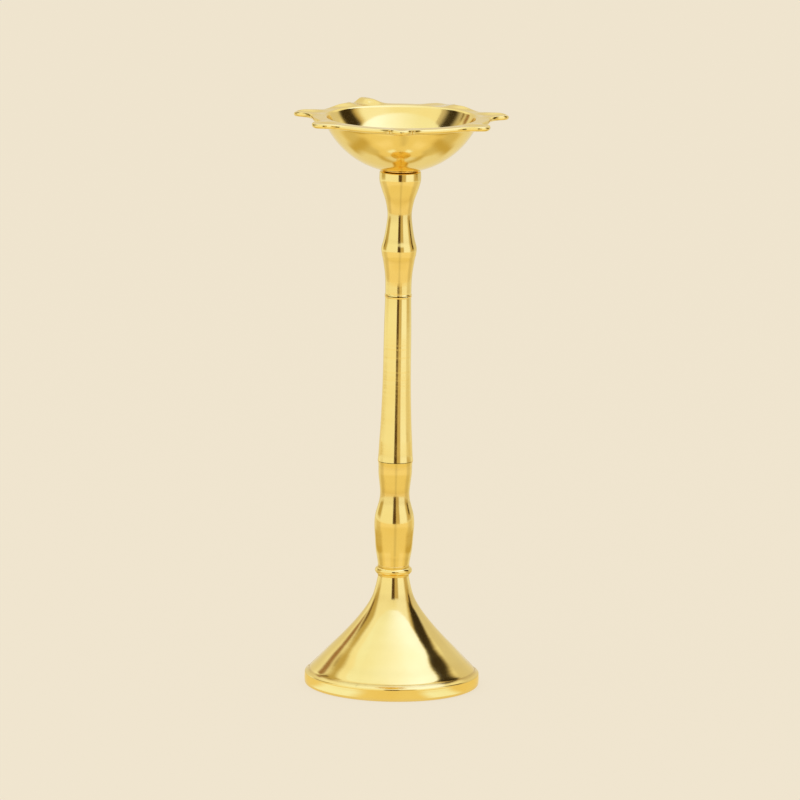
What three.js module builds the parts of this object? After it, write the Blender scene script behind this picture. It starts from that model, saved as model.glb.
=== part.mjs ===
// Brass oil lamp on a tall turned stand.
//
// A round bowl with seven spouts stands on a slim stem of three turned
// sections, and the stem stands on a hollow bell-shaped foot. The pieces are
// screwed together by studs on one upright axis. Millimetres, +Z up, and the
// origin is on that axis, where the foot's rim meets the table.

import * as THREE from 'three';

// Fits between pieces
const SCREW_GAP = 0.3; // between a stud and the hole it sits in, on the radius
const SEAM_GAP = 0.3; // left open at each seam that unscrews

// Studs
const STUD_R = 4;
const STUD_GRIP = 10; // length screwed into the piece below, for each section
const STUD_HOLD = 9; // length fixed in the piece above
const STUD_END_ROOM = 1; // free depth past a stud's end in its hole
const STUD_CHAMFER = 0.6;
const HOLE_R = STUD_R + SCREW_GAP;

// Foot: a spun bell, hollow below
const FOOT_HEIGHT = 59.05;
const FOOT_RIM_R = 46.3; // widest, at the upright band above the table
const FOOT_SOLE_R = 44.6; // outer edge of the ring it stands on
const FOOT_BAND = 7.4; // height of the band
const FOOT_BAND_EDGE = 0.9; // rounding of its upper edge
const FOOT_LEDGE = 1.5; // width of the ledge from there to the flare
const FOOT_LEDGE_RISE = 1.1;
const FOOT_NECK_R = 8.2;
const FOOT_WALL = 2.2;
const FOOT_WEB = 9; // solid metal under the neck, which the tie stud passes
const FOOT_POCKET_R = 8.8; // round room for the washer under the web

// Washer and nut that pull the tie stud down
const WASHER_R = 7.8;
const WASHER_THICK = 1.5;
const NUT_FLATS = 13;
const NUT_THICK = 6.5;
const TIE_PAST_NUT = 1.5; // thread that shows below the nut
const TIE_GRIP = 14; // length screwed into the lower section

// Collar: a ring with one rounded bead
const COLLAR_HEIGHT = 6;
const COLLAR_R = 8.45;
const COLLAR_BEAD = 1.9; // radius of the bead's rounding
const COLLAR_BEAD_R = 9.9; // out to the bead's edge
const COLLAR_BEAD_UP = 2.85; // bead's middle above the collar's underside

// Lower section: a long bulge, a neck and a widening top
const LOWER_HEIGHT = 55.75;
const LOWER_FOOT_R = 8.35;
const LOWER_BULGE_R = 10.65;
const LOWER_NECK_R = 7.83;
const LOWER_TOP_R = 9.25;

// Middle section: a long taper with a small lip at the top
const MIDDLE_HEIGHT = 88.4;
const MIDDLE_FOOT_R = 9.42;
const MIDDLE_BAND_R = 8.97; // where the flare at its foot begins
const MIDDLE_TOP_R = 6.92;

// Upper section: a pointed bulge, the slimmest neck and a cup-shaped head
const UPPER_HEIGHT = 66.2;
const UPPER_FOOT_R = 6.9;
const UPPER_BULGE_R = 9.34;
const UPPER_NECK_R = 6.43;
const UPPER_HEAD_R = 10.98;
const UPPER_EDGE = 0.6; // rounding of the head's upper edge

// Lips on both sides of the upper seam
const LIP_OUT = 0.26;
const LIP_HEIGHT = 0.9;

// Disc between the stem and the bowl
const DISC_R = 9.9;
const DISC_THICK = 1.3;

// Bowl
const BOWL_DEPTH = 27.4; // from its flat underside to the rim's upper face
const BOWL_OUTER_R = 44.2; // radius of the ball that the outside follows
const BOWL_SEAT_R = 13.3; // flat underside
const BOWL_WALL = 2.2;
const BOWL_FLOOR = 2.3; // thickness at the stud
const FLOOR_FLAT = 4; // flat floor around the stud's head
const FLOOR_EASE = 7; // width of the rounding from there into the well
const RIM_LEDGE = 5.2; // how far the rim stands out past the ball
const RIM_THICK = 2.4;
const RIM_INNER_ROUND = 5; // rounding from the well onto the rim
const RIM_UNDER_ROUND = 3.5; // hollow rounding under the rim

// Spouts, each a tongue drawn out of the rim with a trough for the wick
const SPOUTS = 7;
const SPOUT_LENGTH = 11.13; // from the rim's edge to the tip
const SPOUT_TIP_ROUND = 6; // rounding of the tip in plan
const SPOUT_ROOT_ROUND = 12; // hollow rounding in plan between tip and rim
const SPOUT_DRAW = 7; // width of rim, inwards from its edge, that is drawn out
const TROUGH_DIP = 0.5; // below the rim, in the middle of the tongue
const TROUGH_LIP = 0.3; // above the rim, along both sides
const TROUGH_RUN_OUT = 1.4; // past the rim's edge, where the trough is full

// The tongues are drawn by hand, so each tip rises or sinks by its own amount,
// counted from the front tongue to the right
const SPOUT_LIFTS = [1.9, 1.4, 0.4, -0.4, -0.4, 0.4, 1.4];

// Places where the rim was bent up by hand: degrees from the front tongue to
// the right, height, and how many degrees the bend spreads before and after
const BENDS = [[137, 1.2, 9, 9], [202.5, 2.6, 8, 2.6], [223, 1.4, 9, 9]];
const BEND_REACH = 7; // width of rim that a bend takes along

// Head of the bowl's stud, peened over inside the well
const PEEN_R = 6.2;
const PEEN_RISE = 1.4;

// Angle of the first spout. The thread stops the bowl an eighth of a spout's
// pitch past the front.
const SPOUT_PITCH = (2 * Math.PI) / SPOUTS;
const FIRST_SPOUT = -Math.PI / 2 + SPOUT_PITCH / 8;

// Facets around each turned piece
const ROUND_FOOT = 36;
const ROUND_STEM = 24;
const ROUND_STUD = 16;
const HALF_SPOUT_SIDES = 8; // from a spout's middle to the middle of a gap

// Heights of the stacked pieces, from the table up
const collarZ = FOOT_HEIGHT;
const lowerZ = collarZ + COLLAR_HEIGHT;
const middleZ = lowerZ + LOWER_HEIGHT + SEAM_GAP;
const upperZ = middleZ + MIDDLE_HEIGHT + SEAM_GAP;
const discZ = upperZ + UPPER_HEIGHT + SEAM_GAP;
const bowlZ = discZ + DISC_THICK;
const rimZ = bowlZ + BOWL_DEPTH;

// The bowl's ball rests on its flat underside, which sets how high its centre
// stands above the rim's upper face. The rim's edge is counted from the ball.
const ballUp = Math.sqrt(BOWL_OUTER_R ** 2 - BOWL_SEAT_R ** 2) - BOWL_DEPTH;
const rimR = Math.sqrt(BOWL_OUTER_R ** 2 - ballUp ** 2) + RIM_LEDGE;

const brass = (color, roughness) =>
  new THREE.MeshStandardMaterial({ color, roughness, metalness: 1 });

const castBrass = () => brass(0xe6bd58, 0.16);
const turnedBrass = () => brass(0xe0b24a, 0.2);
const plainBrass = () => brass(0xb98f3e, 0.42);
const platedSteel = () => brass(0xa8a79f, 0.45);

const mix = THREE.MathUtils.lerp;
const ease = (from, to, x) => THREE.MathUtils.smoothstep(x, from, to);

// Outline pieces. Every outline is a list of points with x as the radius and
// y as the height.
const straight = (...points) => points.map(([r, z]) => new THREE.Vector2(r, z));

const flowing = (knots, stepsPerKnot) => {
  const curve = new THREE.SplineCurve(straight(...knots));
  return curve.getPoints(stepsPerKnot * (knots.length - 1));
};

const arc = (r, z, radius, fromAngle, toAngle, steps) => {
  const clockwise = toAngle < fromAngle;
  const curve = new THREE.EllipseCurve(
    r, z, radius, radius, fromAngle, toAngle, clockwise);
  return curve.getPoints(steps);
};

// Turns an outline into a solid. The outline runs up the outside and down the
// inside, and a closed ring repeats its first point at the end.
function turned(outline, sides) {
  const points = outline.filter(
    (p, i) => i === 0 || p.distanceTo(outline[i - 1]) > 1e-4);
  const geometry = new THREE.LatheGeometry(points, sides);
  geometry.rotateX(Math.PI / 2);
  return geometry;
}

const closed = (outline) => [...outline, outline[0].clone()];

function piece(name, geometry, material, z = 0) {
  const mesh = new THREE.Mesh(geometry, material);
  mesh.name = name;
  mesh.position.z = z;
  return mesh;
}

// A stud: a plain rod with chamfered ends, from z = 0 up
function stud(length) {
  return turned(
    straight(
      [0, 0],
      [STUD_R - STUD_CHAMFER, 0],
      [STUD_R, STUD_CHAMFER],
      [STUD_R, length - STUD_CHAMFER],
      [STUD_R - STUD_CHAMFER, length],
      [0, length],
    ),
    ROUND_STUD,
  );
}

// The end faces of a stem section, with a blind hole for a stud in each. The
// side runs from the foot's edge to the top's edge.
function section(side, height, holeBelow, holeAbove) {
  const outline = [
    ...straight([0, holeBelow], [HOLE_R, holeBelow], [HOLE_R, 0]),
    ...side,
    ...straight([HOLE_R, height], [HOLE_R, height - holeAbove], [0, height - holeAbove]),
  ];
  return turned(outline, ROUND_STEM);
}

// The foot's upright band, from the sole up to its rounded edge. The pairs are
// shares of that rounding, inwards, and of the band's height.
const footBand = () => [
  [FOOT_SOLE_R, 0],
  ...[[0.3, 0.12], [0, 0.34], [0.05, 0.66], [0.3, 0.87], [1, 1]].map(
    ([back, up]) => [FOOT_RIM_R - FOOT_BAND_EDGE * back, FOOT_BAND * up]),
];

// The foot's flare, from the ledge up to the neck. The first number of each
// pair is a share of the way from the neck's radius to the ledge's, and the
// second a share of the height.
const footFlare = () => {
  const ledgeR = FOOT_RIM_R - FOOT_BAND_EDGE - FOOT_LEDGE;
  const across = (share) => mix(FOOT_NECK_R, ledgeR, share);
  const up = (share) => FOOT_HEIGHT * share;
  return [
    [ledgeR, FOOT_BAND + FOOT_LEDGE_RISE],
    [across(0.975), up(0.165)],
    [across(0.858), up(0.237)],
    [across(0.702), up(0.339)],
    [across(0.512), up(0.457)],
    [across(0.337), up(0.576)],
    [across(0.188), up(0.694)],
    [across(0.09), up(0.796)],
    [across(0.0395), up(0.889)],
    [across(0), up(1)],
  ];
};

// The same side moved inwards by the wall, square to the surface
function inset(knots, wall) {
  return knots.map(([r, z], i) => {
    const [r0, z0] = knots[Math.max(i - 1, 0)];
    const [r1, z1] = knots[Math.min(i + 1, knots.length - 1)];
    const run = Math.hypot(r1 - r0, z1 - z0);
    return [r - (wall * (z1 - z0)) / run, z + (wall * (r1 - r0)) / run];
  });
}

function footGeometry() {
  const flare = footFlare();
  const webZ = FOOT_HEIGHT - FOOT_WEB;
  const wall = inset(flare, FOOT_WALL).slice(1).filter(
    ([r, z]) => z < webZ && r > FOOT_POCKET_R);
  const hollow = [[FOOT_SOLE_R - FOOT_WALL, 0], ...wall].reverse();
  const pocketZ = hollow[0][1];
  const outline = [
    ...flowing(footBand(), 1),
    ...flowing(flare, 2),
    ...straight([HOLE_R, FOOT_HEIGHT], [HOLE_R, webZ], [FOOT_POCKET_R, webZ]),
    ...straight([FOOT_POCKET_R, pocketZ]),
    ...flowing(hollow, 1),
  ];
  return turned(closed(outline), ROUND_FOOT);
}

function nutGeometry() {
  const corner = NUT_FLATS / 2 / Math.cos(Math.PI / 6);
  const outline = new THREE.Shape();
  for (let i = 0; i < 6; i++) {
    const a = (i * Math.PI) / 3;
    const x = corner * Math.cos(a);
    const y = corner * Math.sin(a);
    if (i === 0) outline.moveTo(x, y);
    else outline.lineTo(x, y);
  }
  outline.closePath();
  outline.holes.push(new THREE.Path().absarc(0, 0, HOLE_R, 0, 2 * Math.PI, true));
  return new THREE.ExtrudeGeometry(outline, {
    depth: NUT_THICK,
    bevelEnabled: false,
    curveSegments: ROUND_STUD,
  });
}

function washerGeometry() {
  const outline = straight(
    [HOLE_R, 0], [WASHER_R, 0], [WASHER_R, WASHER_THICK], [HOLE_R, WASHER_THICK]);
  return turned(closed(outline), ROUND_STEM);
}

function collarGeometry() {
  const beadCentreR = COLLAR_BEAD_R - COLLAR_BEAD;
  const half = Math.acos((COLLAR_R - beadCentreR) / COLLAR_BEAD);
  const outline = [
    ...straight([HOLE_R, 0], [COLLAR_R, 0]),
    ...arc(beadCentreR, COLLAR_BEAD_UP, COLLAR_BEAD, -half, half, 7),
    ...straight([COLLAR_R, COLLAR_HEIGHT], [HOLE_R, COLLAR_HEIGHT]),
  ];
  return turned(closed(outline), ROUND_STEM);
}

function lowerGeometry() {
  const rise = (share) => mix(LOWER_FOOT_R, LOWER_BULGE_R, share);
  const fall = (share) => mix(LOWER_NECK_R, LOWER_BULGE_R, share);
  const widen = (share) => mix(LOWER_NECK_R, LOWER_TOP_R, share);
  const up = (share) => LOWER_HEIGHT * share;
  const side = flowing([
    [rise(0), 0],
    [rise(0.26), up(0.071)],
    [rise(0.574), up(0.143)],
    [rise(0.817), up(0.268)],
    [rise(1), up(0.388)],
    [fall(0.848), up(0.483)],
    [fall(0.372), up(0.573)],
    [fall(0.106), up(0.627)],
    [fall(0), up(0.699)],
    [widen(0.338), up(0.788)],
    [widen(0.754), up(0.878)],
    [widen(0.81), up(0.959)],
    [widen(1), up(1)],
  ], 2);
  const holeBelow = TIE_GRIP + STUD_END_ROOM;
  const holeAbove = STUD_GRIP + STUD_END_ROOM;
  return section(side, LOWER_HEIGHT, holeBelow, holeAbove);
}

function middleGeometry() {
  const flare = (share) => mix(MIDDLE_BAND_R, MIDDLE_FOOT_R, share);
  const taper = (share) => mix(MIDDLE_TOP_R, MIDDLE_BAND_R, share);
  const up = (share) => MIDDLE_HEIGHT * share;
  const lipZ = MIDDLE_HEIGHT - LIP_HEIGHT;
  const side = [
    ...flowing([
      [flare(1), 0],
      [flare(0.36), up(0.033)],
      [flare(0), up(0.067)],
      [taper(0.883), up(0.123)],
      [taper(0.707), up(0.191)],
      [taper(0.537), up(0.282)],
      [taper(0.327), up(0.44)],
      [taper(0.224), up(0.61)],
      [taper(0.161), up(0.802)],
      [taper(0), lipZ],
    ], 1),
    ...straight(
      [MIDDLE_TOP_R + LIP_OUT, lipZ + LIP_OUT],
      [MIDDLE_TOP_R + LIP_OUT, MIDDLE_HEIGHT],
    ),
  ];
  const holeAbove = STUD_GRIP + STUD_END_ROOM;
  return section(side, MIDDLE_HEIGHT, STUD_HOLD + STUD_END_ROOM, holeAbove);
}

function upperGeometry() {
  const rise = (share) => mix(UPPER_FOOT_R, UPPER_BULGE_R, share);
  const fall = (share) => mix(UPPER_NECK_R, UPPER_BULGE_R, share);
  const cup = (share) => mix(UPPER_NECK_R, UPPER_HEAD_R, share);
  const up = (share) => UPPER_HEIGHT * share;
  const side = [
    ...straight(
      [UPPER_FOOT_R + LIP_OUT, 0],
      [UPPER_FOOT_R + LIP_OUT, LIP_HEIGHT - LIP_OUT],
    ),
    ...flowing([
      [rise(0), LIP_HEIGHT],
      [rise(0.107), up(0.154)],
      [rise(0.57), up(0.275)],
      [rise(0.889), up(0.328)],
      [rise(1), up(0.385)],
      [fall(0.591), up(0.456)],
      [fall(0.227), up(0.547)],
      [fall(0), up(0.653)],
      [cup(0.244), up(0.758)],
      [cup(0.699), up(0.849)],
      [cup(1), up(0.924)],
      [UPPER_HEAD_R, UPPER_HEIGHT - UPPER_EDGE],
    ], 2),
    ...arc(UPPER_HEAD_R - UPPER_EDGE, UPPER_HEIGHT - UPPER_EDGE, UPPER_EDGE, 0, Math.PI / 2, 3),
  ];
  const holeAbove = STUD_GRIP + STUD_END_ROOM;
  return section(side, UPPER_HEIGHT, STUD_HOLD + STUD_END_ROOM, holeAbove);
}

function discGeometry() {
  const edge = DISC_THICK / 2;
  const outline = [
    ...straight([HOLE_R, 0], [DISC_R - edge, 0]),
    ...arc(DISC_R - edge, edge, edge, -Math.PI / 2, Math.PI / 2, 4),
    ...straight([HOLE_R, DISC_THICK]),
  ];
  return turned(closed(outline), ROUND_STEM);
}

// The bowl's stud: a rod whose upper end is peened over to a low dome
function bowlStudGeometry(below) {
  const through = below + SEAM_GAP + DISC_THICK + BOWL_FLOOR + SCREW_GAP;
  const outline = [
    ...straight([0, 0], [STUD_R - STUD_CHAMFER, 0], [STUD_R, STUD_CHAMFER]),
    ...straight([STUD_R, through], [PEEN_R, through]),
    ...flowing([
      [PEEN_R, through],
      [PEEN_R * 0.8, through + PEEN_RISE * 0.6],
      [PEEN_R * 0.4, through + PEEN_RISE * 0.93],
      [0, through + PEEN_RISE],
    ], 2),
  ];
  return turned(outline, ROUND_STUD);
}

// The bowl as it would be without spouts, as a closed ring around the stud's
// hole. Heights are counted from the rim's upper face.
function roundBowlOutline() {
  const up = ballUp;
  const innerR = BOWL_OUTER_R - BOWL_WALL;
  const edge = RIM_THICK / 2;
  const onBall = (r, radius) => up - Math.sqrt(radius * radius - r * r);

  // Rounding from the well onto the rim, tangent to the inner ball
  const lipZ = -RIM_INNER_ROUND;
  const lipR = Math.sqrt((innerR + RIM_INNER_ROUND) ** 2 - (up - lipZ) ** 2);
  const wellAngle = Math.atan2(lipZ - up, lipR);

  // Hollow rounding under the rim, tangent to the outer ball
  const underZ = -RIM_THICK - RIM_UNDER_ROUND;
  const underR = Math.sqrt((BOWL_OUTER_R + RIM_UNDER_ROUND) ** 2 - (up - underZ) ** 2);
  const underAngle = Math.atan2(underZ - up, underR);

  const undersideAngle = Math.atan2(-BOWL_DEPTH - up, BOWL_SEAT_R);

  // Flat floor around the stud, eased into the inner ball
  const floorZ = -BOWL_DEPTH + BOWL_FLOOR;
  const flatR = PEEN_R + FLOOR_FLAT;
  const easeR = flatR + FLOOR_EASE;
  const easeZ = onBall(easeR, innerR);
  const cornerR = easeR - (easeZ - floorZ) * ((up - easeZ) / easeR);
  const floorEase = new THREE.QuadraticBezierCurve(
    ...straight([easeR, easeZ], [cornerR, floorZ], [flatR, floorZ]));
  const easeAngle = Math.atan2(easeZ - up, easeR);

  return closed([
    ...straight([HOLE_R, -BOWL_DEPTH]),
    ...arc(0, up, BOWL_OUTER_R, undersideAngle, underAngle, 6),
    ...arc(underR, underZ, RIM_UNDER_ROUND, underAngle + Math.PI, Math.PI / 2, 3),
    ...straight([mix(underR, rimR - edge, 0.5), -RIM_THICK]),
    ...arc(rimR - edge, -edge, edge, -Math.PI / 2, Math.PI / 2, 4),
    ...straight([mix(lipR, rimR - edge, 0.5), 0]),
    ...arc(lipR, lipZ, RIM_INNER_ROUND, Math.PI / 2, wellAngle + Math.PI, 3),
    ...arc(0, up, innerR, wellAngle, easeAngle, 4),
    ...floorEase.getPoints(2),
    ...straight([HOLE_R, floorZ]),
  ]);
}

// The rim seen from above, from a spout's middle line to the middle of the gap
// beside it: round tip, hollow rounding tangent to it, then the round rim
function halfSpoutPlan() {
  const tip = rimR + SPOUT_LENGTH - SPOUT_TIP_ROUND;
  const fromAxis = rimR + SPOUT_ROOT_ROUND;
  const fromTip = SPOUT_TIP_ROUND + SPOUT_ROOT_ROUND;
  const along = (fromAxis ** 2 - fromTip ** 2 + tip ** 2) / (2 * tip);
  const aside = Math.sqrt(fromAxis ** 2 - along ** 2);
  const lean = Math.atan2(aside, along - tip);
  const root = Math.atan2(aside, along);
  const plan = new THREE.Path();
  plan.absarc(tip, 0, SPOUT_TIP_ROUND, 0, lean);
  plan.absarc(along, aside, SPOUT_ROOT_ROUND, lean - Math.PI, root - Math.PI, true);
  plan.absarc(0, 0, rimR, root, SPOUT_PITCH / 2);
  return plan.getSpacedPoints(HALF_SPOUT_SIDES);
}

// Height that the trough adds at a point beside a spout's middle line
function troughRise(across, radius) {
  const side = Math.abs(across) / SPOUT_TIP_ROUND;
  const dip = TROUGH_DIP * Math.exp(-((side / 0.6) ** 2));
  const lip = TROUGH_LIP * Math.exp(-(((side - 1.15) / 0.45) ** 2));
  return ease(rimR - SPOUT_DRAW, rimR + TROUGH_RUN_OUT, radius) * (lip - dip);
}

// Height that drawing and bending by hand added
function handRise(spout, turn, radius) {
  const fromRim = (radius - rimR + 1) / (SPOUT_LENGTH + 1);
  const lift = SPOUT_LIFTS[spout] * THREE.MathUtils.clamp(fromRim, 0, 1) ** 1.4;
  const share = ease(rimR - BEND_REACH, rimR + TROUGH_RUN_OUT, radius);
  return BENDS.reduce((rise, [middle, height, before, after]) => {
    const away = THREE.MathUtils.radToDeg(turn) - middle;
    return rise + share * height * Math.exp(-((away / (away > 0 ? after : before)) ** 2));
  }, lift);
}

// Draws the round bowl's rim out into spouts. The bowl's evenly spaced sides
// are turned to meet the points of the rim's plan, and the outermost part of
// the rim is stretched towards those points.
function drawOutSpouts(geometry) {
  const plan = halfSpoutPlan();
  const drawnR = rimR - RIM_THICK / 2;
  const side = Math.PI / (SPOUTS * HALF_SPOUT_SIDES);
  const position = geometry.attributes.position;
  for (let i = 0; i < position.count; i++) {
    const radius = Math.hypot(position.getX(i), position.getY(i));
    const step = Math.round(Math.atan2(position.getY(i), position.getX(i)) / side);
    const turns = Math.round(step / (2 * HALF_SPOUT_SIDES));
    const fromMiddle = step - 2 * HALF_SPOUT_SIDES * turns;
    const spout = THREE.MathUtils.euclideanModulo(turns, SPOUTS);
    const end = plan[Math.abs(fromMiddle)];
    const off = Math.sign(fromMiddle) * end.angle();
    const stretch = ease(rimR - SPOUT_DRAW, drawnR, radius);
    const reach = radius + (end.length() - rimR) * stretch;
    const turn = SPOUT_PITCH * spout + off;
    const rise = troughRise(reach * Math.sin(off), reach) + handRise(spout, turn, reach);
    const around = FIRST_SPOUT + turn;
    position.setXYZ(
      i, reach * Math.cos(around), reach * Math.sin(around), position.getZ(i) + rise);
  }
  geometry.computeVertexNormals();
  return geometry;
}

function bowlGeometry() {
  const round = turned(roundBowlOutline(), 2 * SPOUTS * HALF_SPOUT_SIDES);
  return drawOutSpouts(round);
}

const lamp = new THREE.Group();

const washerZ = FOOT_HEIGHT - FOOT_WEB - WASHER_THICK;
const nutZ = washerZ - NUT_THICK;
const tieZ = nutZ - TIE_PAST_NUT;
lamp.add(
  piece('foot', footGeometry(), turnedBrass()),
  piece('foot_washer', washerGeometry(), plainBrass(), washerZ),
  piece('foot_nut', nutGeometry(), platedSteel(), nutZ),
  piece('foot_tie_stud', stud(lowerZ + TIE_GRIP - tieZ), platedSteel(), tieZ),
  piece('collar_ring', collarGeometry(), turnedBrass(), collarZ),
  piece('stem_lower', lowerGeometry(), turnedBrass(), lowerZ),
);

const joiner = STUD_GRIP + SEAM_GAP + STUD_HOLD;
lamp.add(
  piece('stud_lower_seam', stud(joiner), plainBrass(), middleZ - SEAM_GAP - STUD_GRIP),
  piece('stem_middle', middleGeometry(), turnedBrass(), middleZ),
  piece('stud_upper_seam', stud(joiner), plainBrass(), upperZ - SEAM_GAP - STUD_GRIP),
  piece('stem_upper', upperGeometry(), turnedBrass(), upperZ),
);

const bowlStudZ = discZ - SEAM_GAP - STUD_GRIP;
lamp.add(
  piece('bowl_stud', bowlStudGeometry(STUD_GRIP), plainBrass(), bowlStudZ),
  piece('bowl_disc', discGeometry(), turnedBrass(), discZ),
  piece('bowl', bowlGeometry(), castBrass(), rimZ),
);

export default lamp;
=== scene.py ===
# %% [markdown]
# # A brass oil lamp on a tall turned stand
#
# The lamp is a round bowl with seven spouts for wicks. It stands on a slim stem
# of three turned sections, and the stem stands on a hollow bell-shaped foot.
# All of it is polished brass, so the lesson has two halves: smooth turned
# shapes, and something for them to reflect.
#
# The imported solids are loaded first. They are faceted, so each one is replaced
# by a finer mesh of the same size, which rides on the same body.

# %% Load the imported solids
import math

import bpy
import numpy as np
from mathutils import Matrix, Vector


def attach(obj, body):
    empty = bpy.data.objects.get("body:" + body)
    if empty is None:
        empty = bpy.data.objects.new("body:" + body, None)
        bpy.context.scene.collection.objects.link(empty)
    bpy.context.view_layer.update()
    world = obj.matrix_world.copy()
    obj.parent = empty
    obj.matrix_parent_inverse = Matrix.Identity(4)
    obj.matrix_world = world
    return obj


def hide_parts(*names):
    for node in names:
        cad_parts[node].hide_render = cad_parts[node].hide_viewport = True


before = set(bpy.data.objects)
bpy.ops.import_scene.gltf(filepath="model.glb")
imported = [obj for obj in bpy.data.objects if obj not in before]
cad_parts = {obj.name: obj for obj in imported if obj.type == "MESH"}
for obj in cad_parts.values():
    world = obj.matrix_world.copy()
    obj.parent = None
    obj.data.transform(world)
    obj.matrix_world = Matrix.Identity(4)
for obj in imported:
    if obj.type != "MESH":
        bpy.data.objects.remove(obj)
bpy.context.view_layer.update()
print("solids:", ", ".join(sorted(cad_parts)))

# %% [markdown]
# ## Camera
#
# The photograph was taken with a long lens, slightly from above, and its
# picture is turned by one degree. A camera can be placed by eye or worked out.
# Here it is worked out: the ellipses of the foot's rim and the bowl's rim give
# the camera's height angle, and how much they differ gives its distance. The
# azimuth is counted from the front, to the right.

# %% Camera
PHOTO_AZIMUTH = math.radians(6.43)
CAMERA_DISTANCE = 4.6196
CAMERA_HEIGHT = 1.0114
AIM_HEIGHT = 0.1535
AIM_RIGHT = 0.0019
CAMERA_ROLL = math.radians(1.0)
LENS, SENSOR_WIDTH = 400, 36


def around(azimuth, distance, height):
    """A point at this azimuth from the front, in the lamp's frame."""
    return Vector((distance * math.sin(azimuth), -distance * math.cos(azimuth), height))


camera = bpy.data.objects.new("camera", bpy.data.cameras.new("camera"))
bpy.context.collection.objects.link(camera)
right = Vector((math.cos(PHOTO_AZIMUTH), math.sin(PHOTO_AZIMUTH), 0))
camera.location = around(PHOTO_AZIMUTH, CAMERA_DISTANCE, CAMERA_HEIGHT) + AIM_RIGHT * right
aim = Vector((0, 0, AIM_HEIGHT)) + AIM_RIGHT * right
camera.rotation_euler = (aim - camera.location).to_track_quat("-Z", "Y").to_euler()
camera.rotation_euler.rotate_axis("Z", CAMERA_ROLL)
camera.data.lens = LENS
camera.data.sensor_width = SENSOR_WIDTH
camera.data.clip_end = 200
bpy.context.scene.camera = camera
bpy.context.scene.view_settings.view_transform = "Standard"
tilt = math.degrees(math.atan2(CAMERA_HEIGHT - AIM_HEIGHT, CAMERA_DISTANCE))
print(f"camera looks down by {tilt:.1f} degrees from {CAMERA_DISTANCE:.2f} m away")

# %% [markdown]
# ## Turned outlines
#
# A turner shapes such pieces against a template: a flowing curve through a few
# widths. The same can be done here with a curve through knots, each a radius
# and a height in millimetres. A Bezier curve with a Screw modifier would also
# give a turned shape. Plain mesh code is used instead, because it can also
# store two numbers at every point for the finish: how far along the outline it
# lies, which the fine rings of turning follow, and how deep it lies in a
# hollow, where a polishing wheel doesn't reach and brass stays darker.

# %% Curves through knots
MM = 0.001


def flowing(knots, steps=6):
    """Points on a smooth curve through the knots."""
    knots = np.array(knots, float)
    last = len(knots) - 1
    points = []
    for i in range(last):
        before, start = knots[max(i - 1, 0)], knots[i]
        end, after = knots[i + 1], knots[min(i + 2, last)]
        leave, arrive = (end - before) / 2, (after - start) / 2
        for t in np.arange(steps) / steps:
            cubic = (2 * start - 2 * end + leave + arrive) * t**3
            square = (3 * end - 3 * start - 2 * leave - arrive) * t**2
            points.append(tuple(cubic + square + leave * t + start))
    return points + [tuple(knots[-1])]


def arc(r, z, radius, start, end, steps=8):
    """Points on an arc around (r, z), from one angle to another in radians."""
    angles = np.linspace(start, end, steps + 1)
    return [(r + radius * math.cos(a), z + radius * math.sin(a)) for a in angles]


def without_doubles(outline):
    """The outline without points that lie on the one before them."""
    kept = [outline[0]]
    for point in outline[1:]:
        if math.dist(point, kept[-1]) > 1e-4:
            kept.append(point)
    return kept


def between(low, high):
    """Turns shares of the way from one size to another into sizes."""
    return lambda share: low + (high - low) * share


print("a flowing curve through 3 knots has", len(flowing([(0, 0), (1, 1), (1, 3)])), "points")

# %% Length and hollows along an outline
def run_along(points):
    """For each point, the length from the first one."""
    steps = np.hypot(*np.diff(points, axis=0).T)
    return np.concatenate([[0], np.cumsum(steps)])


def run_and_hollow(outline, reach=3.0, full=0.22, spacing=0.2):
    """For each point, the length from the first one, and 0 to 1 for a hollow.

    A point lies in a hollow when the middle of its neighbours within reach
    stands out from the surface, and fully when it stands out by full. The
    outline is looked at in even steps of this spacing. All are in mm."""
    points = np.array(outline, float)
    run = run_along(points)
    even = np.arange(0, run[-1], spacing)
    r, z = np.interp(even, run, points[:, 0]), np.interp(even, run, points[:, 1])
    window = np.ones(int(2 * reach / spacing) + 1)
    count = np.convolve(np.ones_like(even), window, "same")
    out_r = np.convolve(r, window, "same") / count - r
    out_z = np.convolve(z, window, "same") / count - z
    tangent = np.gradient(r), np.gradient(z)
    size = np.maximum(np.hypot(*tangent), 1e-9)
    stands_out = (out_r * tangent[1] - out_z * tangent[0]) / size
    inside = np.clip(stands_out / full, 0, 1)
    return run, np.interp(run, even, inside)


straight = [(5, z) for z in np.linspace(0, 20, 41)]
print("deepest hollow on a straight side:", round(float(run_and_hollow(straight)[1].max()), 3))

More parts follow.
